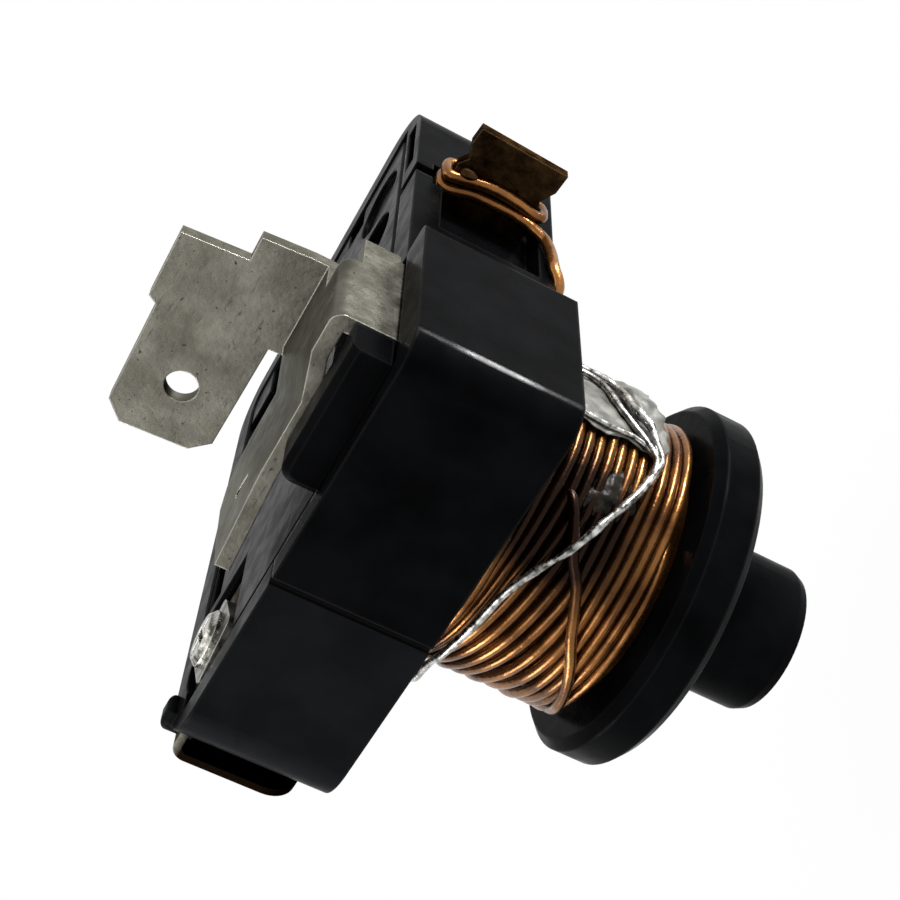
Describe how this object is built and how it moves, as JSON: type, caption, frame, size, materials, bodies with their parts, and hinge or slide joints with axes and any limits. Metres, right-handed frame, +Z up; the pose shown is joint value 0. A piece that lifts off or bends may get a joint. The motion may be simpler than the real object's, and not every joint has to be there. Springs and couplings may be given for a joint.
{
  "type": "compressor start relay",
  "caption": "Current relay for a refrigerator compressor: copper coil with a sealed plunger post under a flat black contact chamber with plug-in sockets and blade terminals",
  "frame": {"origin": "centre of the flat end face of the closed coil post", "axes": "+Z runs up along the coil axis towards the contact chamber; -Y is the tall dark front face; the compressor pins enter the sockets from +Y; +X is the side with the raised front block and the run terminal"},
  "size_m": [0.0292, 0.0327, 0.0372],
  "materials": {
    "black_moulding": "smooth black thermoset moulding",
    "enamelled_copper": "copper wire with clear amber enamel; brass stands in for copper",
    "insulation": "grey insulation tape",
    "tinned_wire": "tinned copper wire and solder",
    "plated_sheet": "dull plated sheet metal",
    "plated_steel": "zinc plated steel",
    "brass_part": "plain brass",
    "contact_metal": "silver alloy contact; aluminium stands in for silver",
    "soft_pad": "soft damping pad"
  },
  "bodies": {
    "case": {"coil_former": "black_moulding", "coil_winding": "enamelled_copper", "insulation_band": "insulation", "tinned_lead": "tinned_wire", "coil_lead": "enamelled_copper", "solder_joint": "tinned_wire", "contact_housing": "black_moulding", "terminal_block": "black_moulding", "cover_plate": "black_moulding", "line_terminal": "plated_sheet", "run_terminal": "plated_sheet", "end_terminal": "plated_sheet", "terminal_screw": "plated_steel", "clamp_washer": "plated_steel", "screw_insert": "brass_part", "line_contact_strip": "brass_part", "start_contact_strip": "brass_part", "line_fixed_contact": "contact_metal", "start_fixed_contact": "contact_metal", "run_socket_clip": "plated_sheet", "start_socket_clip": "plated_sheet", "landing_pad": "soft_pad"},
    "plunger": {"iron_plunger": "plated_steel", "push_rod": "brass_part", "rod_clip": "plated_steel", "contact_spring": "plated_steel"},
    "bridge": {"contact_bridge": "brass_part", "bridge_contacts": "contact_metal"}
  },
  "joints": [
    {"name": "plunger_lift", "type": "slide", "parent": "case", "child": "plunger", "axis": [0, 0, 1], "range_m": [0, 0.0031]},
    {"name": "bridge_slide", "type": "slide", "parent": "plunger", "child": "bridge", "axis": [0, 0, 1], "range_m": [-0.0005, 0], "deforming": ["contact_spring"]}
  ],
  "couplings": [
    {"joint": "bridge_slide", "follows": "plunger_lift", "ratio": -0.16129}
  ]
}
